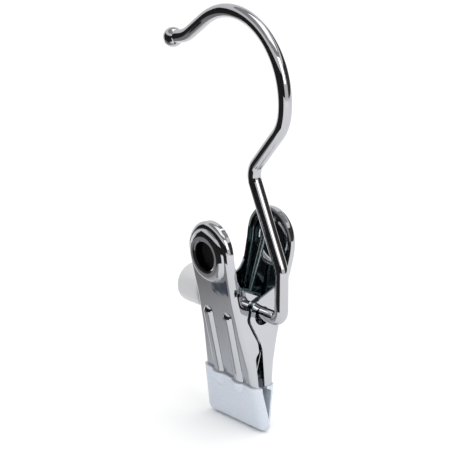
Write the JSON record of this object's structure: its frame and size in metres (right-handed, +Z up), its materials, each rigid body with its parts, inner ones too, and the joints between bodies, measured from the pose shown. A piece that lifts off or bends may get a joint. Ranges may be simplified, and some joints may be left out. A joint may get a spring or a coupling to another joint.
{
  "type": "hanging clip hook",
  "caption": "Chromed wire hook with a ball tip, carrying a sprung sheet-metal clip with coated jaws on its axle.",
  "frame": {"origin": "rail seat: inside of the hook's crown, where it rests on a rail", "axes": "+Z up along the hanging hook, +X along the clip's axle towards the wire's leg, +Y from the front jaw to the back jaw"},
  "size_m": [0.0494, 0.0252, 0.1084],
  "materials": {
    "wire_chrome": "mirror plated",
    "sheet_chrome": "mirror plated",
    "spring_steel": "drawn and plated",
    "cap_plastic": "satin moulded",
    "grip_vinyl": "smooth dipped vinyl"
  },
  "bodies": {
    "hook": {"hook_wire": "wire_chrome", "tip_ball": "wire_chrome", "end_cap": "cap_plastic"},
    "spring": {"spring_coil": "spring_steel"},
    "back_half": {"back_jaw": "sheet_chrome", "back_grip": "grip_vinyl", "spring_back_arm": "spring_steel"},
    "front_half": {"front_jaw": "sheet_chrome", "front_grip": "grip_vinyl", "spring_front_arm": "spring_steel"}
  },
  "joints": [
    {"name": "clip_slide", "type": "slide", "parent": "hook", "child": "spring", "axis": [1, 0, 0], "range_m": [-0.0025, 0.0012]},
    {"name": "clip_swing", "type": "hinge", "parent": "spring", "child": "back_half", "pos_m": [0.0035, 0, -0.07368], "axis": [1, 0, 0], "range_deg": [-120, 120]},
    {"name": "jaw_open", "type": "hinge", "parent": "back_half", "child": "front_half", "pos_m": [0.0035, 0, -0.07368], "axis": [1, 0, 0], "range_deg": [-35, 0], "stiffness_Nm_per_rad": 0.05, "springref_deg": 20.05}
  ]
}
